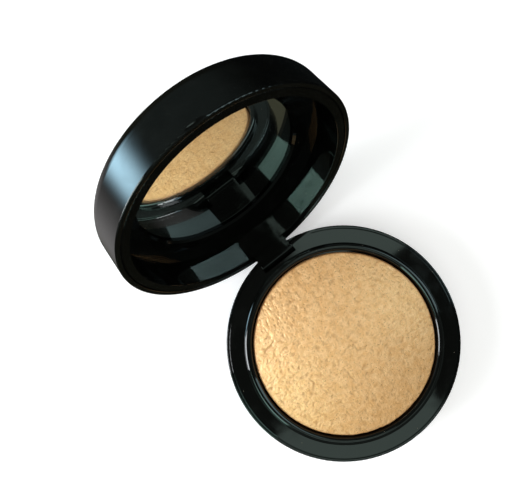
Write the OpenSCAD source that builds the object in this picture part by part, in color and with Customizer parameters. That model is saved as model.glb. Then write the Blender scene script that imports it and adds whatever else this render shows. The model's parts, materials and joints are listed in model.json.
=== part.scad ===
// Powder compact: a round black case with a mirror in its hinged lid and a domed baked powder.
// The origin is the middle of the underside, +Z is up and +Y points to the hinge.
// The lid is shown open, against its stop. Sizes are in millimetres.

/* [Case] */
// Outside diameter of the base and of the lid
case_d = 76; // [64:0.2:92]
// Height of the lid, from its rim to its top
lid_h = 15.5; // [13:0.1:19]
// Wall and floor thickness of the bottom case
base_wall = 1.6; // [1.2:0.1:2]
// Wall and top thickness of the lid's outer shell
lid_wall = 1.5; // [1.2:0.1:1.8]
// Radius of the round edge along the bottom of the case
base_round = 9; // [7:0.1:10]
// Radius of the round edge along the top of the lid
lid_round = 4.9; // [4:0.1:6]
// Space left between the open lid and the table
table_gap = 0.5; // [0.3:0.1:3]
// Space between the closed lid's rim and the base's flange
rim_gap = 0.15; // [0.1:0.05:0.3]
// Radius of the round outer edges on the rims of both shells
lip_round = 0.4; // [0.2:0.05:0.7]
// Radius of the small round edges on the inner pieces
edge_round = 0.25; // [0.1:0.05:0.3]

/* [Hinge] */
// Distance from the case's outside to the hinge axis
hinge_in = 2.8; // [2.6:0.1:3.4]
// Depth of the hinge axis below the closed lid's rim
hinge_drop = 4; // [3.6:0.1:4.8]
// Angle between the closed lid and its stop
open_deg = 115.5; // [95:0.5:120]
// Width of the lid's arm and knuckle
knuckle_w = 12; // [9:0.1:15]
// Side clearance between the knuckle and its slot
knuckle_gap = 0.15; // [0.1:0.05:0.3]
// Diameter of the knuckle
barrel_d = 3.6; // [3:0.1:4.4]
// Clearance round the knuckle in its slot
barrel_gap = 0.2; // [0.15:0.05:0.3]
// Diameter of the hinge pin
pin_d = 1.2; // [0.9:0.05:1.6]
// Radial clearance between the pin and the knuckle
pin_play = 0.05; // [0.03:0.01:0.08]
// Radial squeeze of the pin in the base's lugs
pin_grip = 0.01; // [0:0.005:0.02]
// Length of the pin that each lug grips at least
pin_hold = 4; // [2.5:0.5:6]
// Clearance between the base's round back and the lid's rim
sweep_gap = 0.3; // [0.2:0.05:0.5]
// Clearance between the open lid's arm and the slot's floor that stops it
stop_gap = 0.1; // [0.05:0.05:0.2]
// Clearance that the base's back keeps from the open lid's rim
rest_gap = 0.15; // [0.1:0.05:0.3]

/* [Tray] */
// Width of the flat flange, from the case's outside to the raised ring
flange_w = 5.6; // [4.5:0.1:7]
// Thickness of the flange
flange_t = 1.3; // [1:0.1:1.6]
// Width of the raised ring round the powder
ring_w = 2.6; // [2:0.1:3.2]
// Height of the raised ring above the closed lid's rim
ring_h = 1.7; // [1.4:0.1:2.2]
// Width of the bottom case's lip round the tray
lip_w = 0.9; // [0.7:0.05:1.1]
// Wall and floor thickness of the tray's cup
cup_wall = 1.4; // [1:0.1:1.6]
// Radius of the foot under the tray's cup
foot_r = 20; // [14:1:22]
// Clearance between pieces that drop into each other
fit_gap = 0.1; // [0.05:0.05:0.15]

/* [Powder] */
// Gap between the raised ring and the powder
powder_gap = 0.45; // [0.3:0.05:0.8]
// Height of the powder's edge above the closed lid's rim
powder_edge = 1.2; // [0.8:0.1:1.8]
// Height of the powder's straight side
powder_side = 1.6; // [1.2:0.1:2.2]
// Height of the dome above the powder's edge
dome_h = 5.1; // [4:0.1:6.2]
// Thickness of the clay tile under the powder
tile_t = 4.5; // [3.6:0.1:5]
// How far the tile stands in from the powder's side
tile_in = 0.3; // [0.2:0.1:0.6]
// Depth of the tile's key, which the powder fills
key_depth = 1; // [0.6:0.1:1.4]
// Width of the tile's rim round its key
key_rim = 3; // [2:0.5:4]
// Thickness of the glue under the tile
glue_t = 0.3; // [0.2:0.1:0.5]
// Radius of the glue disc
glue_r = 22; // [16:1:24]

/* [Lid frame] */
// Width of the lid's whole rim, shell and liner together
rim_w = 4.2; // [3.8:0.1:4.6]
// How far the liner's rim face lies inside the shell's lip
face_in = 0.2; // [0.1:0.05:0.4]
// Draft of the liner's inner wall over its height
wall_draft = 0.1; // [0:0.05:0.3]
// Width of the sloped ring round the mirror
slope_w = 6.5; // [5.5:0.1:7.5]
// Height of the sloped ring
slope_h = 2; // [1.6:0.1:2.6]
// Width of the bevel along the lip that holds the mirror
bevel_w = 0.74; // [0.5:0.01:1]
// Height of that bevel
bevel_h = 0.65; // [0.5:0.05:0.8]
// Thickness of the liner behind its slope
liner_t = 1.5; // [1.2:0.1:1.7]
// Width of the flat boss over the hinge
boss_w = 15.5; // [13:0.5:18]
// How far the boss stands in front of the knuckle
boss_out = 0.5; // [0.3:0.1:0.7]
// Thickness of the mirror
mirror_t = 1.6; // [1.2:0.1:2]
// How far the liner's lip covers the mirror's edge
mirror_cover = 2.3; // [1.5:0.1:3]
// Thickness of the tape behind the mirror
tape_t = 0.35; // [0.2:0.05:0.6]
// How far the tape stands in from the mirror's edge
tape_in = 2; // [1:0.5:4]

/* [Thumb scoop] */
// Radius that the thumb scoop in the lid's rim curves with
scoop_r = 14; // [10:1:18]
// Depth of the thumb scoop
scoop_depth = 0.5; // [0.3:0.1:0.9]
// Height of the thumb scoop
scoop_h = 1.6; // [1.2:0.1:2.4]

/* [Label] */
// Radius of the label
label_r = 23; // [16:1:24]
// Thickness of the label
label_t = 0.12; // [0.08:0.02:0.18]
// Depth of the label's recess
label_recess = 0.3; // [0.2:0.05:0.5]

/* [Hidden] */
$fn = 96;
cut = 1;      // how far a cutter passes beyond what it cuts
case_r = case_d / 2;
barrel_r = barrel_d / 2;
pin_r = pin_d / 2;

// The base is as high as the open lid needs to clear the table.
lid_low = hinge_drop + sin(open_deg) * (hinge_in - lid_round)
        - cos(open_deg) * (lid_h - lid_round + hinge_drop) + lid_round;
base_h = lid_low + table_gap;       // plane of the closed lid's rim
base_top = base_h - rim_gap;        // plane of the flange
hinge_y = case_r - hinge_in;
hinge_z = base_h - hinge_drop;
sweep_r = hinge_drop - sweep_gap;   // round back of the base, about the hinge axis

// Back of the base: the flange ends at a straight chord, and the hinge block lies behind it.
chord_out = 0.6;                    // from the hinge axis forward to that chord
chord_y = hinge_y - chord_out;
slot_w = knuckle_w + 2 * knuckle_gap;
slot_y = hinge_y - barrel_r - barrel_gap;
block_web = 1;                      // wall left round the slot
block_y = slot_y - block_web;
stop_r = barrel_r + stop_gap;       // from the hinge axis to the slot's sloping floor
slot_low = hinge_z - stop_r * sin(open_deg)
         + (hinge_in - stop_r * cos(open_deg)) / tan(open_deg);
block_z = slot_low - block_web;
pin_left = -slot_w / 2 - pin_hold;
pin_inset = 0.3;                    // pin's end below the case's surface
pin_right = sqrt(pow(case_r, 2) - pow(hinge_y + pin_r, 2)) - pin_inset;

// Tray and powder
tray_r = case_r - lip_w;
ring_out = case_r - flange_w;
ring_in = ring_out - ring_w;
powder_r = ring_in - powder_gap;
tile_r = powder_r - tile_in;
tile_top = base_h + powder_edge - powder_side;
seat_z = tile_top - tile_t - glue_t;
cup_z = seat_z - cup_wall;
foot_t = 1.2;                       // wall of the foot under the cup
key_r = tile_r - key_rim;
key_gap = 0.1;                      // between the powder's key and the tile
dome_r = (pow(powder_r, 2) + pow(dome_h, 2)) / (2 * dome_h);

// Lid, in its own frame: rim plane at 0, top at lid_h
liner_r = case_r - lid_wall - fit_gap;
bore_r = case_r - rim_w;
mirror_z = lid_h - lid_wall - tape_t - mirror_t;
slope_top = mirror_z - bevel_h;
step_z = slope_top - slope_h;
step_r = bore_r - wall_draft;
bevel_r = step_r - slope_w;
sight_r = bevel_r - bevel_w;
mirror_r = sight_r + mirror_cover;
pocket_r = mirror_r + fit_gap;
boss_y = hinge_y - barrel_r - boss_out;
slope = slope_h / slope_w;
rib_t = 1.2;                        // wall round the mirror's pocket
rib_r = pocket_r + rib_t;

// Extrudes a profile drawn in the YZ plane along X, centred
module along_x(width) {
  rotate([90, 0, 90]) translate([0, 0, -width / 2]) linear_extrude(width) children();
}

// Half section of a dish with its lower outer corner rounded
module dish(r, h, fillet) {
  difference() {
    square([r, h]);
    translate([r - fillet, 0]) difference() {
      square([fillet + cut, fillet]);
      translate([0, fillet]) circle(fillet);
    }
  }
}

// The same section upside down: a cap with its upper outer corner rounded
module cap(r, h, fillet) {
  translate([0, h]) mirror([0, 1]) dish(r, h, fillet);
}

// Takes the lower right corner of a section to a round edge. The corner is at the origin.
module soften(fillet) {
  difference() {
    translate([-fillet, -cut]) square([fillet + cut, fillet + cut]);
    translate([-fillet, fillet]) circle(fillet);
  }
}

module soften_at(r, z, fillet, inward = false, upper = false) {
  translate([r, z]) mirror([inward ? 1 : 0, 0]) mirror([0, upper ? 1 : 0]) soften(fillet);
}

// Side view of the space behind the flange's chord that stays solid below the lid's sweep
module back_profile() {
  union() {
    translate([hinge_y, hinge_z]) circle(sweep_r);
    translate([0, -cut]) square([case_r + cut, hinge_z + cut]);
    translate([0, -cut]) square([hinge_y, hinge_z + sweep_r + cut]);
  }
}

// Side view of the slot for the lid's arm: straight up, round the knuckle and sloping out to the stop
module slot_profile() {
  translate([hinge_y, hinge_z]) {
    circle(barrel_r + barrel_gap);
    translate([slot_y - hinge_y, 0]) square([case_r, hinge_drop + cut]);
    rotate(90 - open_deg) translate([0, -stop_r]) square([case_r, stop_r + hinge_drop]);
  }
}

// Puts a piece that is drawn with the lid closed, rim plane at 0, where the open lid holds it
module open_lid() {
  translate([0, hinge_y, hinge_z]) rotate([-open_deg, 0, 0])
    translate([0, -hinge_y, hinge_drop]) children();
}

module base_shell() {
  color("#17181a") difference() {
    union() {
      rotate_extrude() difference() {
        dish(case_r, base_top, base_round);
        translate([0, base_wall]) dish(case_r - base_wall, base_h, base_round - base_wall);
      }
      intersection() {
        rotate_extrude() dish(case_r, base_top, base_round);
        translate([-case_r, block_y, block_z]) cube([case_d, case_r, base_h]);
      }
    }
    // rebate that the tray's flange drops into
    intersection() {
      translate([0, 0, base_top - flange_t]) cylinder(r = tray_r + fit_gap, h = base_h);
      translate([-case_r, -case_r, 0]) cube([case_d, case_r + chord_y, case_d]);
    }
    // back of the base, cleared for the lid's rim
    along_x(case_d) difference() {
      translate([chord_y, 0]) square([case_r, base_h + cut]);
      back_profile();
    }
    along_x(slot_w) slot_profile();
    // room for the rim of the open lid
    open_lid() translate([0, 0, -rest_gap]) cylinder(r = case_r + rest_gap, h = lid_h);
    translate([pin_left - fit_gap, hinge_y, hinge_z])
      rotate([0, 90, 0]) cylinder(r = pin_r - pin_grip, h = case_d);
    translate([0, 0, -cut]) cylinder(r = label_r + fit_gap, h = label_recess + cut);
    rotate_extrude() soften_at(case_r, base_top, lip_round, upper = true);
  }
}

module tray_section() {
  difference() {
    union() {
      translate([ring_in, base_top - flange_t]) square([tray_r - ring_in, flange_t]);
      translate([ring_in, cup_z]) square([cup_wall, base_h - cup_z]);
      translate([0, cup_z]) square([ring_in + cup_wall, cup_wall]);
      translate([foot_r, base_wall]) square([foot_t, cup_z - base_wall]);
      translate([ring_in, base_top - flange_t]) square([ring_w, flange_t + ring_h + rim_gap - ring_w / 2]);
      translate([ring_in + ring_w / 2, base_h + ring_h - ring_w / 2]) circle(ring_w / 2);
    }
    soften_at(tray_r, base_top, edge_round, upper = true);
  }
}

module base_tray() {
  color("#202124") difference() {
    rotate_extrude() tray_section();
    // straight back edge, and the slot for the lid's arm
    translate([-case_r, chord_y - fit_gap, 0]) cube([case_d, case_r, case_d]);
    translate([-slot_w / 2, slot_y, 0]) cube([slot_w, case_r, case_d]);
  }
}

module powder_tile() {
  color("#b5643c") translate([0, 0, tile_top - tile_t]) difference() {
    cylinder(r = tile_r, h = tile_t);
    translate([0, 0, tile_t - key_depth]) cylinder(r = key_r + key_gap, h = tile_t);
  }
}

module tile_glue() {
  color("#d9d2bf") translate([0, 0, seat_z]) cylinder(r = glue_r, h = glue_t);
}

module powder_cake() {
  color("#dcb377") rotate_extrude() {
    translate([0, tile_top - key_depth]) square([key_r, key_depth]);
    translate([0, tile_top]) square([powder_r, powder_side]);
    translate([0, base_h + powder_edge]) intersection() {
      square([powder_r, dome_h + cut]);
      translate([0, dome_h - dome_r]) circle(dome_r);
    }
  }
}

module hinge_pin() {
  color("silver") translate([pin_left, hinge_y, hinge_z])
    rotate([0, 90, 0]) cylinder(r = pin_r, h = pin_right - pin_left);
}

module bottom_label() {
  color("#c9cacc") translate([0, 0, label_recess - label_t]) cylinder(r = label_r, h = label_t);
}

module lid_shell() {
  color("#17181a") open_lid() difference() {
    rotate_extrude() difference() {
      cap(case_r, lid_h, lid_round);
      cap(case_r - lid_wall, lid_h - lid_wall, lid_round - lid_wall);
      soften_at(case_r, 0, lip_round);
      soften_at(case_r - lid_wall, 0, edge_round, inward = true);
    }
    // thumb scoop at the front of the rim
    translate([0, scoop_depth - case_r - scoop_r, 0])
      rotate_extrude() translate([scoop_r - scoop_h, 0]) circle(scoop_h);
  }
}

module liner_section() {
  difference() {
    intersection() {
      polygon([
        [liner_r, face_in], [bore_r, face_in], [step_r, step_z],
        [bevel_r, slope_top], [sight_r, mirror_z], [pocket_r, mirror_z],
        [pocket_r, lid_h - lid_wall], [rib_r, lid_h - lid_wall],
        [rib_r, step_z + liner_t + slope * (step_r - rib_r)],
        [step_r, step_z + liner_t], [liner_r, step_z + liner_t]
      ]);
      cap(liner_r, lid_h - lid_wall, lid_round - lid_wall);
    }
    soften_at(bore_r, face_in, edge_round, inward = true);
    soften_at(liner_r, face_in, edge_round);
  }
}

// Arm and knuckle in side view, with the lid closed
module arm_profile() {
  translate([hinge_y, -hinge_drop]) {
    circle(barrel_r);
    translate([-barrel_r, 0]) square([barrel_d, hinge_drop]);
  }
}

module lid_liner() {
  color("#1c1d20") open_lid() difference() {
    union() {
      rotate_extrude() liner_section();
      // flat boss over the hinge, and the arm's root inside the rim
      intersection() {
        translate([-boss_w / 2, boss_y, face_in])
          cube([boss_w, case_r, step_z + liner_t / 2 - face_in]);
        cylinder(r = liner_r - edge_round, h = lid_h);
      }
      intersection() {
        translate([-knuckle_w / 2, hinge_y - barrel_r, -cut])
          cube([knuckle_w, case_r, cut + face_in + edge_round]);
        translate([0, 0, -cut]) cylinder(r = liner_r, h = lid_h);
      }
      along_x(knuckle_w) arm_profile();
    }
    translate([0, hinge_y, -hinge_drop])
      rotate([0, 90, 0]) cylinder(r = pin_r + pin_play, h = case_d, center = true);
  }
}

module mirror_glass() {
  color("#dfe7ea") open_lid() translate([0, 0, mirror_z]) cylinder(r = mirror_r, h = mirror_t);
}

module mirror_tape() {
  color("#e8e4da") open_lid()
    translate([0, 0, mirror_z + mirror_t]) cylinder(r = mirror_r - tape_in, h = tape_t);
}

base_shell();
base_tray();
powder_tile();
tile_glue();
powder_cake();
hinge_pin();
bottom_label();
lid_shell();
lid_liner();
mirror_glass();
mirror_tape();
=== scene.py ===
"""Looks of a powder compact: gloss black case, mirror in the hinged lid, domed baked golden powder."""
import json
import math

import bpy
import numpy as np
from mathutils import Matrix, Vector


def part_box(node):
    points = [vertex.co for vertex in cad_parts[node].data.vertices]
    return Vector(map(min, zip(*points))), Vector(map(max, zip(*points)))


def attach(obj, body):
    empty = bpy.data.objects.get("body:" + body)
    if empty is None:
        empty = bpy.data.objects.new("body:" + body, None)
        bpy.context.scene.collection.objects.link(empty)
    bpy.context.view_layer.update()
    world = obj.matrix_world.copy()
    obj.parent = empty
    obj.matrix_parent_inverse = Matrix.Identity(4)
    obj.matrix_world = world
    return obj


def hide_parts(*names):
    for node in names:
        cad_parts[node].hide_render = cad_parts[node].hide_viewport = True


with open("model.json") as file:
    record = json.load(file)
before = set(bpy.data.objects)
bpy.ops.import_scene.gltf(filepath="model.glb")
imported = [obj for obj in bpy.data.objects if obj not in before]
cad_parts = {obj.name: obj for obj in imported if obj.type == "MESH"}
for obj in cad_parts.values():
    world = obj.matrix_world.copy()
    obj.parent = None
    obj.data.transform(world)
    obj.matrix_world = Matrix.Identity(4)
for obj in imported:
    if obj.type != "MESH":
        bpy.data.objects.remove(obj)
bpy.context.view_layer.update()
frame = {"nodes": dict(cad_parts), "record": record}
scene = bpy.context.scene
scene.view_settings.view_transform = "Standard"

MM = 0.001
BASE_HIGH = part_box("base_shell")[1]
CAKE_LOW, CAKE_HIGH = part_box("powder_cake")

# The view's own directions on the table: the lid lies up and to the left in it
VIEW_RIGHT = Vector((0.788, -0.615, 0))
VIEW_UP = Vector((0.615, 0.788, 0))


# ---------------------------------------------------------------- camera
SENSOR = 36             # mm
LENS = 39.5             # mm
CLIP_NEAR, CLIP_FAR = 0.01, 10                      # metres
CAMERA_X, CAMERA_Y = -0.01119, 0.04051              # metres
CAMERA_ABOVE_BASE = 0.18057                         # metres above the base's highest point
CAMERA_BACK = (-0.0433, -0.0116, 0.999)             # from what it looks at toward the camera
CAMERA_RIGHT = (0.788, -0.615, 0.027)


def make_camera():
    """Looks nearly straight down on the base, turned so that the open lid is at the upper left."""
    data = bpy.data.cameras.new("camera")
    data.sensor_width = SENSOR
    data.lens = LENS
    data.clip_start = CLIP_NEAR
    data.clip_end = CLIP_FAR
    camera = bpy.data.objects.new("camera", data)
    scene.collection.objects.link(camera)
    back = Vector(CAMERA_BACK).normalized()
    right = Vector(CAMERA_RIGHT)
    right = (right - back * right.dot(back)).normalized()
    up = back.cross(right)
    turn = Matrix((right, up, back)).transposed()
    place = (CAMERA_X, CAMERA_Y, BASE_HIGH.z + CAMERA_ABOVE_BASE)
    camera.matrix_world = Matrix.Translation(place) @ turn.to_4x4()
    scene.camera = camera


make_camera()


# ---------------------------------------------------------------- node helpers
class Nodes:
    """A material's node tree, with short calls for the nodes that the materials here share."""

    def __init__(self, name):
        self.material = bpy.data.materials.new(name)
        self.material.use_nodes = True
        self.tree = self.material.node_tree
        self.shader = self.tree.nodes["Principled BSDF"]
        place = self.tree.nodes.new("ShaderNodeTexCoord")
        scaled = self.tree.nodes.new("ShaderNodeMapping")
        scaled.inputs["Scale"].default_value = (1 / MM, 1 / MM, 1 / MM)
        self.join(place.outputs["Object"], scaled.inputs["Vector"])
        self.place = scaled.outputs["Vector"]  # millimetres on the object

    def join(self, source, target):
        self.tree.links.new(source, target)

    def set(self, socket, value):
        self.shader.inputs[socket].default_value = value

    def put(self, source, socket):
        self.join(source, self.shader.inputs[socket])

    def noise(self, size, detail=3, rough=0.5, warp=0.0, stretch=None):
        """Noise whose features are about size millimetres across."""
        node = self.tree.nodes.new("ShaderNodeTexNoise")
        node.inputs["Scale"].default_value = 1 / size
        node.inputs["Detail"].default_value = detail
        node.inputs["Roughness"].default_value = rough
        node.inputs["Distortion"].default_value = warp
        place = self.place
        if stretch:
            mapping = self.tree.nodes.new("ShaderNodeMapping")
            mapping.inputs["Scale"].default_value = stretch
            self.join(place, mapping.inputs["Vector"])
            place = mapping.outputs["Vector"]
        self.join(place, node.inputs["Vector"])
        return node.outputs["Fac"]

    def cells(self, size):
        """Cells about size millimetres across: the distance and a random colour per cell."""
        node = self.tree.nodes.new("ShaderNodeTexVoronoi")
        node.inputs["Scale"].default_value = 1 / size
        self.join(self.place, node.inputs["Vector"])
        return node.outputs["Distance"], node.outputs["Color"]

    def attribute(self, name):
        node = self.tree.nodes.new("ShaderNodeAttribute")
        node.attribute_name = name
        return node.outputs["Fac"]

    def math(self, kind, first, second=0.5, third=0.5):
        node = self.tree.nodes.new("ShaderNodeMath")
        node.operation = kind
        for socket, value in zip(node.inputs, (first, second, third)):
            if isinstance(value, (int, float)):
                socket.default_value = value
            else:
                self.join(value, socket)
        return node.outputs[0]

    def spread(self, source, low, high, to_low=0.0, to_high=1.0):
        """Takes source from low..high to to_low..to_high, smoothly and clamped."""
        node = self.tree.nodes.new("ShaderNodeMapRange")
        node.interpolation_type = "SMOOTHSTEP"
        self.join(source, node.inputs["Value"])
        limits = {"From Min": low, "From Max": high, "To Min": to_low, "To Max": to_high}
        for name, value in limits.items():
            node.inputs[name].default_value = value
        return node.outputs["Result"]

    def blend(self, amount, first, second):
        """Mixes two colours, each a socket or three numbers."""
        node = self.tree.nodes.new("ShaderNodeMix")
        node.data_type = "RGBA"
        self.join(amount, node.inputs[0])
        for socket, value in ((node.inputs[6], first), (node.inputs[7], second)):
            if isinstance(value, tuple):
                socket.default_value = (*value, 1)
            else:
                self.join(value, socket)
        return node.outputs[2]

    def bump(self, height, depth, below=None):
        """Bump of depth millimetres for a height of one, over another bump where one is given."""
        node = self.tree.nodes.new("ShaderNodeBump")
        node.inputs["Strength"].default_value = 1
        node.inputs["Distance"].default_value = depth * MM
        self.join(height, node.inputs["Height"])
        if below:
            self.join(below, node.inputs["Normal"])
        return node.outputs["Normal"]


# ---------------------------------------------------------------- materials
# Sizes of features and depths of bumps are in mm, and colours are linear.
BLACK = (0.0016, 0.0018, 0.0016)
SMUDGED_BLACK = tuple(1.8 * v for v in BLACK)
DUST_COLOUR = (0.55, 0.45, 0.3)
DUST_APART = 1.9


def gloss_black(name, rough=0.05, dust=0.3, shine=0.5):
    """Moulded gloss plastic: faint waves in the skin, smudges in the gloss and specks of powder.

    dust is the share of places that hold a speck, and shine is the specular level.
    """
    m = Nodes(name)
    smudge = m.spread(m.noise(7, detail=4, warp=0.6), 0.45, 0.7)
    distance, colour = m.cells(DUST_APART)
    chance = m.math("LESS_THAN", colour, dust)
    speck = m.math("MULTIPLY", m.spread(distance, 0.02, 0.055, 1, 0), chance)
    plastic = m.blend(smudge, BLACK, SMUDGED_BLACK)
    m.put(m.blend(m.math("MULTIPLY", speck, 0.6), plastic, DUST_COLOUR), "Base Color")
    gloss = m.math("MULTIPLY_ADD", smudge, 0.06, rough)
    m.put(m.math("MULTIPLY_ADD", speck, 0.6, gloss), "Roughness")
    wave = m.bump(m.noise(9, detail=1), 0.006)
    skin = m.bump(m.noise(0.8, detail=2), 0.0004, wave)
    m.put(m.bump(speck, 0.03, skin), "Normal")
    m.set("Specular IOR Level", shine)
    return m.material


def mirror_silver():
    """Silvering on the back of the mirror's glass, very slightly uneven."""
    m = Nodes("mirror_silver")
    uneven = m.noise(12, detail=3)
    m.put(m.blend(uneven, (0.86, 0.88, 0.86), (0.83, 0.85, 0.83)), "Base Color")
    m.set("Metallic", 1)
    m.put(m.math("MULTIPLY", uneven, 0.006), "Roughness")
    return m.material


GLASS_IOR = 1.52


def mirror_clear():
    """The mirror's glass, with faint finger smudges on it."""
    m = Nodes("mirror_clear")
    smudge = m.spread(m.noise(6, detail=5, rough=0.6, warp=1.2), 0.52, 0.75)
    m.put(m.blend(smudge, (0.97, 0.99, 0.98), (0.95, 0.97, 0.96)), "Base Color")
    m.set("Transmission Weight", 1)
    m.set("IOR", GLASS_IOR)
    m.put(m.math("MULTIPLY", smudge, 0.02), "Roughness")
    return m.material


GOLD_LIGHT, GOLD_DEEP = (0.93, 0.575, 0.262), (0.82, 0.455, 0.172)
GRAIN_COLOUR = (0.68, 0.36, 0.12)
# painted shade: the dark brown laid into the powder's pits and creases
HOLLOW_SHADE_COLOUR = (0.42, 0.2, 0.06)
EDGE_COLOUR = (0.4, 0.17, 0.06)


def golden_powder():
    """Baked mineral powder: satin gold with mottling, a fine grain, flakes, painted shade in its
    hollows and a browner edge.
    """
    m = Nodes("golden_powder")
    hollow_depth_and_shade = m.attribute("hollow_depth_and_shade")
    edge = m.attribute("edge")
    mottle = m.spread(m.noise(2.2, detail=4, rough=0.6, warp=0.4), 0.35, 0.68)
    grain = m.noise(0.35, detail=3, rough=0.7)
    gold = m.blend(mottle, GOLD_LIGHT, GOLD_DEEP)
    gold = m.blend(m.spread(grain, 0.35, 0.7, 0, 0.5), gold, GRAIN_COLOUR)
    # painted shade: the hollows are darkened by their depth, over the powder's own colour
    gold = m.blend(m.math("MULTIPLY", hollow_depth_and_shade, 0.6), gold, HOLLOW_SHADE_COLOUR)
    m.put(m.blend(edge, gold, EDGE_COLOUR), "Base Color")
    distance, colour = m.cells(0.2)
    flake = m.spread(colour, 0.6, 0.95)
    m.put(m.math("MULTIPLY_ADD", flake, 0.45, 0.12), "Metallic")
    m.put(m.math("MULTIPLY_ADD", flake, -0.18, 0.44), "Roughness")
    m.set("Specular IOR Level", 0.7)
    soft = m.bump(m.noise(0.6, detail=3, rough=0.6), 0.08)
    m.put(m.bump(grain, 0.05, soft), "Normal")
    return m.material


def fired_clay():
    """Unglazed terracotta tile with dark grog specks."""
    m = Nodes("fired_clay")
    tone = m.noise(3, detail=5, rough=0.6)
    clay = m.blend(tone, (0.5, 0.24, 0.13), (0.62, 0.34, 0.2))
    distance, colour = m.cells(0.7)
    chance = m.math("LESS_THAN", colour, 0.35)
    grog = m.math("MULTIPLY", m.spread(distance, 0.1, 0.3, 1, 0), chance)
    m.put(m.blend(grog, clay, (0.2, 0.1, 0.06)), "Base Color")
    m.put(m.spread(tone, 0.3, 0.7, 0.8, 0.95), "Roughness")
    m.put(m.bump(m.noise(0.3, detail=4, rough=0.7), 0.05), "Normal")
    return m.material


def amber_glue():
    """Cured hot glue."""
    m = Nodes("amber_glue")
    cloud = m.noise(4, detail=4)
    m.put(m.blend(cloud, (0.72, 0.6, 0.36), (0.85, 0.78, 0.6)), "Base Color")
    m.put(m.spread(cloud, 0.3, 0.7, 0.2, 0.4), "Roughness")
    m.put(m.bump(m.noise(1.6, detail=2), 0.05), "Normal")
    return m.material


def drawn_steel():
    """Steel wire, drawn along its length."""
    m = Nodes("drawn_steel")
    lines = m.noise(0.12, detail=3, stretch=(0.04, 1, 1))
    m.put(m.blend(lines, (0.5, 0.5, 0.51), (0.66, 0.66, 0.67)), "Base Color")
    m.set("Metallic", 1)
    m.put(m.spread(lines, 0.3, 0.7, 0.2, 0.38), "Roughness")
    m.put(m.bump(lines, 0.004), "Normal")
    return m.material


LABEL_RING_IN = 1.5     # from the label's edge in to its printed ring, mm
LABEL_RING_HALF = 0.12  # half of that ring's width, mm


def label_paper():
    """Blank satin paper label with a thin grey ring printed near its edge."""
    m = Nodes("label_paper")
    fibre = m.noise(0.5, detail=5, rough=0.65, warp=1.5)
    paper = m.blend(fibre, (0.78, 0.77, 0.74), (0.86, 0.85, 0.83))
    apart = m.tree.nodes.new("ShaderNodeVectorMath")
    apart.operation = "MULTIPLY"
    apart.inputs[1].default_value = (1, 1, 0)
    m.join(m.place, apart.inputs[0])
    length = m.tree.nodes.new("ShaderNodeVectorMath")
    length.operation = "LENGTH"
    m.join(apart.outputs[0], length.inputs[0])
    ring_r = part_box("bottom_label")[1].x / MM - LABEL_RING_IN
    off_ring = m.math("ABSOLUTE", m.math("SUBTRACT", length.outputs["Value"], ring_r))
    ring = m.spread(off_ring, LABEL_RING_HALF, 0.2, 1, 0)
    m.put(m.blend(ring, paper, (0.16, 0.16, 0.16)), "Base Color")
    m.put(m.spread(fibre, 0.3, 0.7, 0.5, 0.65), "Roughness")
    m.put(m.bump(fibre, 0.01), "Normal")
    return m.material


def tape_foam():
    """Double-sided foam tape."""
    m = Nodes("tape_foam")
    distance, colour = m.cells(0.25)
    m.put(m.blend(distance, (0.55, 0.55, 0.53), (0.75, 0.75, 0.73)), "Base Color")
    m.set("Roughness", 0.85)
    m.put(m.bump(distance, 0.08), "Normal")
    return m.material


def paint(node, material):
    """Gives a CAD node its material."""
    mesh = frame["nodes"][node].data
    mesh.materials.clear()
    mesh.materials.append(material)


def paint_nodes():
    paint("base_shell", gloss_black("base_black"))
    paint("lid_shell", gloss_black("lid_black", rough=0.11, dust=0.15))
    paint("base_tray", gloss_black("tray_black", dust=0.45))
    paint("lid_liner", gloss_black("liner_black", rough=0.03, dust=0.2, shine=0.24))
    paint("mirror_tape", tape_foam())
    paint("powder_tile", fired_clay())
    paint("tile_glue", amber_glue())
    paint("hinge_pin", drawn_steel())
    paint("bottom_label", label_paper())


# ---------------------------------------------------------------- powder
GRID = 252              # squares across the powder's mesh
DOME_H = 5.1            # height of the dome above the powder's sharp edge, mm
EDGE_ROUND = 0.8        # mm
KEY_DEPTH = 1.0         # how far the powder reaches down into the tile, mm
KEY_RIM = 3.3           # from the powder's side in to that key, mm
ROUGH_ACROSS = 26       # the relief grows over this much toward the view's left, mm
SUNK = 0.19             # how far the relief as a whole is lowered into the dome, mm
VEINS = ((2.9, 0.2, 0.08, 10), (1.8, 0.26, 0.08, 20), (1.1, 0.32, 0.06, 30))  # size, width, depth, seed
PIT_DEPTH = 0.07        # mm
DAB_DEPTH = 0.1         # mm
CREASE_DEPTH = 0.24     # mm
CREASE_WIDE = 0.3       # mm
HOLLOW_SHADE_FULL = 0.14      # depth from which a hollow has its whole painted shade, mm
FADE_START, FADE_END = 1.2, 0.3     # the relief fades out between these distances from the end, mm
EDGE_DARK = 0.85        # share of the edge's colour on the rounded edge


def smooth(value, low, high):
    """Goes smoothly from 0 at low to 1 at high."""
    t = np.clip((value - low) / (high - low), 0, 1)
    return t * t * (3 - 2 * t)


def gradient_noise(x, y, seed):
    """Smooth noise from about -1 to 1, with features of about 1."""
    table = 256
    turn = np.random.default_rng(seed).random((table, table)) * 2 * math.pi
    left, low = np.floor(x).astype(int), np.floor(y).astype(int)
    fx, fy = x - left, y - low

    def corner(dx, dy):
        angle = turn[(left + dx) % table, (low + dy) % table]
        return np.cos(angle) * (fx - dx) + np.sin(angle) * (fy - dy)

    ease_x = fx ** 3 * (fx * (fx * 6 - 15) + 10)
    ease_y = fy ** 3 * (fy * (fy * 6 - 15) + 10)
    below = corner(0, 0) * (1 - ease_x) + corner(1, 0) * ease_x
    above = corner(0, 1) * (1 - ease_x) + corner(1, 1) * ease_x
    return 1.6 * (below * (1 - ease_y) + above * ease_y)


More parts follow.
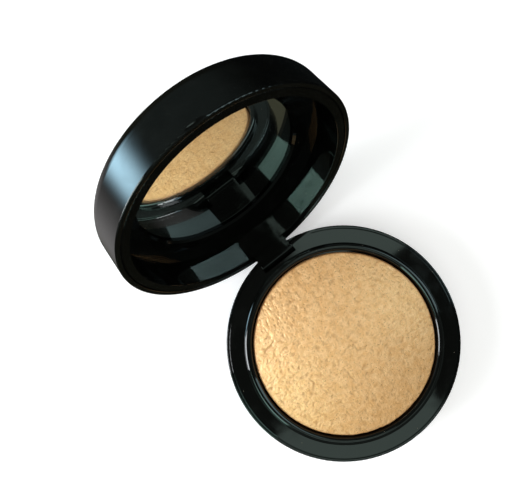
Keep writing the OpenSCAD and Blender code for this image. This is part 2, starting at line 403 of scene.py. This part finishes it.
def disc_grid():
    """Places x and y of a square grid's points, bent into a disc of radius 1."""
    line = np.linspace(-1, 1, GRID + 1)
    u, v = np.meshgrid(line, line, indexing="ij")
    wide = np.abs(u) >= np.abs(v)
    far = np.where(wide, u, v)
    near = np.where(wide, v, u)
    part = np.divide(near, far, out=np.zeros_like(far), where=far != 0) * math.pi / 4
    angle = np.where(wide, part, math.pi / 2 - part)
    x, y = far * np.cos(angle), far * np.sin(angle)
    return x.ravel(), y.ravel()


def powder_profile(way):
    """The powder's section at way mm along it from its top.

    Gives the radius and height in mm, how far the normal leans out from straight up, in radians, and
    the distances along the section to the dome's end and to the side's end.
    """
    radius = CAKE_HIGH.x / MM
    top = CAKE_HIGH.z / MM
    ball = (radius ** 2 + DOME_H ** 2) / (2 * DOME_H)
    ball_z = top - ball
    turn_r = radius - EDGE_ROUND
    turn_z = ball_z + math.sqrt((ball - EDGE_ROUND) ** 2 - turn_r ** 2)
    tilt = math.asin(turn_r / (ball - EDGE_ROUND))
    dome_end = ball * tilt
    turn_end = dome_end + EDGE_ROUND * (math.pi / 2 - tilt)
    lean = np.where(way < dome_end, way / ball, tilt + (way - dome_end) / EDGE_ROUND)
    lean = np.minimum(lean, math.pi / 2)
    on_dome = way < dome_end
    r = np.where(on_dome, ball * np.sin(lean), turn_r + EDGE_ROUND * np.sin(lean))
    z = np.where(on_dome, ball_z + ball * np.cos(lean), turn_z + EDGE_ROUND * np.cos(lean))
    z = z - np.maximum(way - turn_end, 0)
    side_h = turn_z - (CAKE_LOW.z / MM + KEY_DEPTH)
    return r, z, lean, dome_end, turn_end + side_h


def powder_relief(x, y):
    """Height of the baked surface over the plain dome, and the depth of its hollows, in mm; that depth
    also sets the painted shade in them.
    """
    swell = 0.05 * gradient_noise(x / 9, y / 9, 1) + 0.04 * gradient_noise(x / 3.6, y / 3.6, 2)
    left = smooth(-(x * VIEW_RIGHT.x + y * VIEW_RIGHT.y), 0, ROUGH_ACROSS)
    leather = 0.05 * gradient_noise(x / 1.7, y / 1.7, 7)
    leather = leather + 0.045 * gradient_noise(x / 0.85, y / 0.85, 8)
    leather = leather * (0.5 + 0.9 * left)
    bend_x = x + 0.9 * gradient_noise(x / 2.2, y / 2.2, 3)
    bend_x = bend_x + 0.3 * gradient_noise(x / 0.8, y / 0.8, 4)
    bend_y = y + 0.9 * gradient_noise(x / 2.2, y / 2.2, 5)
    bend_y = bend_y + 0.3 * gradient_noise(x / 0.8, y / 0.8, 6)
    hollow_depth_and_shade = np.zeros_like(x)
    for size, width, depth, seed in VEINS:
        vein = 1 - np.abs(gradient_noise(bend_x / size, bend_y / size, seed)) / width
        broken = smooth(gradient_noise(x / (1.3 * size), y / (1.3 * size), seed + 1), 0.0, 0.4)
        hollow_depth_and_shade += depth * np.clip(vein, 0, 1) * broken
    pits = gradient_noise(x / 0.62, y / 0.62, 40) + 0.5 * gradient_noise(x / 0.33, y / 0.33, 41)
    hollow_depth_and_shade += PIT_DEPTH * smooth(pits, 0.3, 0.95)
    dabs = gradient_noise(x / 1.5, y / 1.5, 50) + 0.4 * gradient_noise(x / 0.7, y / 0.7, 51)
    hollow_depth_and_shade += DAB_DEPTH * smooth(dabs, 0.2, 0.85)
    hollow_depth_and_shade *= 0.75 + 0.35 * left
    hollow_depth_and_shade += crease(x, y, (-20.2, 14.5), 20, 3.3)
    hollow_depth_and_shade += crease(x, y, (1.5, -2.0), -78, 2.0) * 0.5
    grit = 0.012 * gradient_noise(x / 0.3, y / 0.3, 60)
    return swell + leather + grit - hollow_depth_and_shade - SUNK, hollow_depth_and_shade


def crease(x, y, middle, angle, half):
    """Depth of one short crease, half mm long each way from its middle, at an angle in degrees."""
    turn = math.radians(angle)
    along = (x - middle[0]) * math.cos(turn) + (y - middle[1]) * math.sin(turn)
    across = -(x - middle[0]) * math.sin(turn) + (y - middle[1]) * math.cos(turn)
    across = across + 0.25 * np.sin(along * 1.1)
    ends = smooth(half - np.abs(along), 0, 1.2)
    return CREASE_DEPTH * np.exp(-(across / CREASE_WIDE) ** 2) * ends


def rim_loop():
    """Indexes of the grid's outer points, in order round it."""
    n = GRID + 1
    east = [(GRID, j) for j in range(GRID)]
    north = [(GRID - i, GRID) for i in range(GRID)]
    west = [(0, GRID - j) for j in range(GRID)]
    south = [(i, 0) for i in range(GRID)]
    return [i * n + j for i, j in east + north + west + south]


def make_powder():
    """The domed baked powder as one closed mesh with its relief in real geometry."""
    x, y = disc_grid()
    share = np.hypot(x, y)
    end = powder_profile(np.zeros(1))[4]
    way = share * end
    r, z, lean, dome_end, end = powder_profile(way)
    unit_x = np.divide(x, share, out=np.zeros_like(x), where=share > 0)
    unit_y = np.divide(y, share, out=np.zeros_like(y), where=share > 0)
    flat_x, flat_y = x * end, y * end
    rise, hollow_depth_and_shade = powder_relief(flat_x, flat_y)
    fade = 1 - smooth(way, end - FADE_START, end - FADE_END)
    rise = rise * fade
    out = r + rise * np.sin(lean)
    points = np.stack((out * unit_x, out * unit_y, z + rise * np.cos(lean)), 1)
    n = GRID + 1
    index = np.arange(n * n).reshape(n, n)
    quads = np.stack((index[:-1, :-1], index[1:, :-1], index[1:, 1:], index[:-1, 1:]), -1)
    quads = quads.reshape(-1, 4)
    faces = quads.tolist()
    loop = rim_loop()
    key_r = CAKE_HIGH.x / MM - KEY_RIM
    ring = points[loop]
    steps = ((key_r, CAKE_LOW.z / MM + KEY_DEPTH), (key_r, CAKE_LOW.z / MM))
    rings = [loop]
    for radius, height in steps:
        start = len(points)
        unit = ring[:, :2] / np.hypot(ring[:, 0], ring[:, 1])[:, None]
        more = np.column_stack((unit * radius, np.full(len(ring), height)))
        points = np.vstack((points, more))
        rings.append(list(range(start, start + len(ring))))
    for upper, lower in zip(rings, rings[1:]):
        for k in range(len(upper)):
            after = (k + 1) % len(upper)
            faces.append((upper[k], lower[k], lower[after], upper[after]))
    faces.append(rings[-1][::-1])
    mesh = bpy.data.meshes.new("powder_dome")
    mesh.from_pydata((points * MM).tolist(), [], faces)
    mesh.update()
    soft = [True] * len(quads) + [False] * (len(faces) - len(quads))
    mesh.polygons.foreach_set("use_smooth", soft)
    extra = len(points) - len(way)
    # painted shade for the material: each point's hollow depth, from none to full
    depth = np.clip(hollow_depth_and_shade / HOLLOW_SHADE_FULL, 0, 1) * fade
    edge = EDGE_DARK * smooth(way, dome_end - 0.5, dome_end + 1.0)
    store(mesh, "hollow_depth_and_shade", np.concatenate((depth, np.zeros(extra))))
    store(mesh, "edge", np.concatenate((edge, np.ones(extra))))
    piece = bpy.data.objects.new("powder_dome", mesh)
    scene.collection.objects.link(piece)
    piece.data.materials.append(golden_powder())
    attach(piece, "base")
    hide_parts("powder_cake")


def store(mesh, name, values):
    """Keeps one number per point on the mesh for the material to read."""
    layer = mesh.attributes.new(name, "FLOAT", "POINT")
    layer.data.foreach_set("value", values.astype(np.float32))


# ---------------------------------------------------------------- mirror
MIRROR_SIDES = 160
GLASS_BEVEL = 0.15      # mm
TAPE_CLEAR = 0.04       # mm from the silvering to the tape's face


def lid_turn():
    """Takes a place on the closed lid to where the open lid holds it."""
    hinge = frame["record"]["behaviour"]["joints"][0]
    pivot = Vector(hinge["pos_m"])
    turn = Matrix.Rotation(-math.radians(hinge["range_deg"][1]), 4, "X")
    return Matrix.Translation(pivot) @ turn @ Matrix.Translation(-pivot)


def make_mirror():
    """The mirror as clear glass with bevelled edges and silvering on its back."""
    turn = lid_turn()
    back = turn.inverted()
    corners = [back @ v.co for v in frame["nodes"]["mirror_glass"].data.vertices]
    radius = max(v.x for v in corners)
    low, high = min(v.z for v in corners), max(v.z for v in corners) - TAPE_CLEAR * MM
    bevel = GLASS_BEVEL * MM
    section = (
        (radius - bevel, low),
        (radius, low + bevel),
        (radius, high - bevel),
        (radius - bevel, high),
    )
    points, faces = [], []
    for r, z in section:
        for k in range(MIRROR_SIDES):
            angle = 2 * math.pi * k / MIRROR_SIDES
            points.append(turn @ Vector((r * math.cos(angle), r * math.sin(angle), z)))
    for step in range(len(section) - 1):
        first, second = step * MIRROR_SIDES, (step + 1) * MIRROR_SIDES
        for k in range(MIRROR_SIDES):
            after = (k + 1) % MIRROR_SIDES
            faces.append((first + k, first + after, second + after, second + k))
    front = list(range(MIRROR_SIDES))[::-1]
    rear = [(len(section) - 1) * MIRROR_SIDES + k for k in range(MIRROR_SIDES)]
    faces += [front, rear]
    mesh = bpy.data.meshes.new("mirror_plate")
    mesh.from_pydata(points, [], faces)
    mesh.materials.append(mirror_clear())
    mesh.materials.append(mirror_silver())
    mesh.polygons[len(faces) - 1].material_index = 1
    piece = bpy.data.objects.new("mirror_plate", mesh)
    scene.collection.objects.link(piece)
    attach(piece, "lid")
    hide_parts("mirror_glass")


# ---------------------------------------------------------------- studio
FLOOR_SIZE = 4          # metres
FLOOR_GLOW = 0.35       # keeps the shadows pale
BACKDROP_R = 1.99       # metres
BACKDROP_H = 2.5        # metres
BACKDROP_SIDES = 96
BACKDROP_GLOW = 0.9
CARD_HEIGHT = 1.0       # metres
FILL_HEIGHT = 1.6       # metres
GREY_GREEN, GREEN, SLATE = (0.76, 1, 0.9), (0.6, 1, 0.88), (0.68, 0.97, 1)
# The world's glows: azimuth, elevation and half width in degrees, sharpness and brightness
GLOWS = (
    (170, 0, 27, 5.6, (7.6, 12.2, 14.8)),
    (187, -38, 38, 2, (0.6, 0.58, 0.58)),
)
# The cards overhead: name, place, size, glow, colour and turn in degrees
CARDS = (
    ("card_hinge", (0.215, 0.0), (0.25, 0.28), 1.2, GREY_GREEN, 0),
    ("card_front", (-0.105, -0.42), (0.49, 0.27), 1.15, GREY_GREEN, 0),
    ("card_right", (1.88, -0.715), (3.2, 0.6), 2.4, SLATE, -25),
    ("card_left", (-2.12, -0.83), (3.1, 0.66), 3.9, GREEN, 26),
)


def make_floor():
    """A pale floor that glows a little. Gloss and glass don't mirror it."""
    bpy.ops.mesh.primitive_plane_add(size=FLOOR_SIZE, location=(0, 0, 0))
    floor = bpy.context.object
    floor.name = "floor"
    m = Nodes("floor_white")
    m.put(m.blend(m.noise(40, detail=2), (0.9, 0.9, 0.9), (0.92, 0.92, 0.92)), "Base Color")
    m.set("Roughness", 0.9)
    m.set("Specular IOR Level", 0.1)
    m.set("Emission Color", (1, 1, 1, 1))
    m.set("Emission Strength", FLOOR_GLOW)
    floor.data.materials.append(m.material)
    floor.visible_glossy = False        # the gloss mirrors the darker room of make_world instead
    floor.visible_transmission = False


def make_backdrop():
    """A pale round wall inside the floor's edge. Only the camera sees it, so it lights nothing."""
    points, faces = [], []
    for k in range(BACKDROP_SIDES):
        angle = 2 * math.pi * k / BACKDROP_SIDES
        x, y = BACKDROP_R * math.cos(angle), BACKDROP_R * math.sin(angle)
        points += [(x, y, 0), (x, y, BACKDROP_H)]
        low, after = 2 * k, 2 * (k + 1) % (2 * BACKDROP_SIDES)
        faces.append((low, low + 1, after + 1, after))
    mesh = bpy.data.meshes.new("backdrop")
    mesh.from_pydata(points, [], faces)
    wall = bpy.data.objects.new("backdrop", mesh)
    scene.collection.objects.link(wall)
    m = Nodes("backdrop_pale")
    tone = m.blend(m.noise(400, detail=1), (0.8, 0.82, 0.82), (0.84, 0.86, 0.86))
    m.put(tone, "Emission Color")
    m.set("Emission Strength", BACKDROP_GLOW)
    m.set("Base Color", (0, 0, 0, 1))
    m.set("Specular IOR Level", 0)
    mesh.materials.append(m.material)
    wall.visible_diffuse = wall.visible_glossy = False
    wall.visible_transmission = wall.visible_shadow = False


def soft_light(name, place, size, glow, colour, target=None, seen=True, lights=True, turn=0):
    """A rectangle of light whose face is glow bright. It faces the target, or straight down.

    Gloss mirrors it where it is seen, and it brightens matt surfaces where it lights.
    """
    data = bpy.data.lights.new(name, "AREA")
    data.shape = "RECTANGLE"
    data.size, data.size_y = size
    data.energy = glow * math.pi * size[0] * size[1]
    data.color = colour
    light = bpy.data.objects.new(name, data)
    scene.collection.objects.link(light)
    light.location = place
    if target:
        light.rotation_mode = "QUATERNION"
        light.rotation_quaternion = (Vector(target) - Vector(place)).to_track_quat("-Z", "Y")
    else:
        light.rotation_euler.z = math.radians(turn)
    light.visible_camera = False
    light.visible_glossy = seen
    light.visible_transmission = seen
    light.visible_diffuse = lights


def sky(azimuth, elevation):
    """Direction from the object, in degrees.

    The azimuth is anticlockwise in the view from its right, and the elevation is above the table.
    """
    turn, lift = math.radians(azimuth), math.radians(elevation)
    flat = VIEW_RIGHT * math.cos(turn) + VIEW_UP * math.sin(turn)
    return flat * math.cos(lift) + Vector((0, 0, math.sin(lift)))


def make_world():
    """A dim room for the gloss to mirror, darker below and overhead, with the glows in GLOWS."""
    world = bpy.data.worlds.new("world")
    world.use_nodes = True
    scene.world = world
    tree = world.node_tree
    way = tree.nodes.new("ShaderNodeTexCoord").outputs["Generated"]

    def new(kind, **settings):
        node = tree.nodes.new(kind)
        for name, value in settings.items():
            setattr(node, name, value)
        return node

    def share(toward, none, full, power=1):
        """0 where the cosine to this direction is none, 1 where it is full."""
        dot = new("ShaderNodeVectorMath", operation="DOT_PRODUCT")
        dot.inputs[1].default_value = toward
        tree.links.new(way, dot.inputs[0])
        ramp = new("ShaderNodeMapRange")
        ramp.inputs["From Min"].default_value = none
        ramp.inputs["From Max"].default_value = full
        tree.links.new(dot.outputs["Value"], ramp.inputs["Value"])
        curve = new("ShaderNodeMath", operation="POWER")
        curve.inputs[1].default_value = power
        tree.links.new(ramp.outputs["Result"], curve.inputs[0])
        return curve.outputs[0]

    def mix(amount, first, second):
        node = new("ShaderNodeMix", data_type="RGBA")
        tree.links.new(amount, node.inputs[0])
        for socket, value in ((node.inputs[6], first), (node.inputs[7], second)):
            if isinstance(value, tuple):
                socket.default_value = (*value, 1)
            else:
                tree.links.new(value, socket)
        return node.outputs[2]

    up = (0, 0, 1)
    colour = mix(share(up, -0.15, 0.2), (0.045, 0.045, 0.03), (0.12, 0.155, 0.145))
    colour = mix(share(up, 0.5, 0.9), colour, (0.045, 0.05, 0.045))
    colour = mix(share(sky(50, -30), 0.3, 0.8), colour, (0.008, 0.01, 0.01))
    for azimuth, elevation, width, power, glow in GLOWS:
        spread = share(sky(azimuth, elevation), math.cos(math.radians(width)), 1, power)
        colour = mix(spread, colour, glow)
    tree.links.new(colour, tree.nodes["Background"].inputs["Color"])


def make_lights():
    """A bluish window low at the view's left, dim cards overhead for the gloss, and a fill."""
    window = sky(194, 0) * 0.85 + Vector((0, 0, 0.34))
    soft_light("window", window, (0.36, 0.64), 12.5, (0.92, 0.96, 1), target=(0, 0, 0.02))
    for name, place, size, glow, colour, turn in CARDS:
        soft_light(name, (*place, CARD_HEIGHT), size, glow, colour, lights=False, turn=turn)
    soft_light("fill", (0, 0, FILL_HEIGHT), (2.4, 2.4), 1.36, (1, 0.98, 0.96), seen=False)


paint_nodes()
make_powder()
make_mirror()
make_floor()
make_backdrop()
make_world()
make_lights()
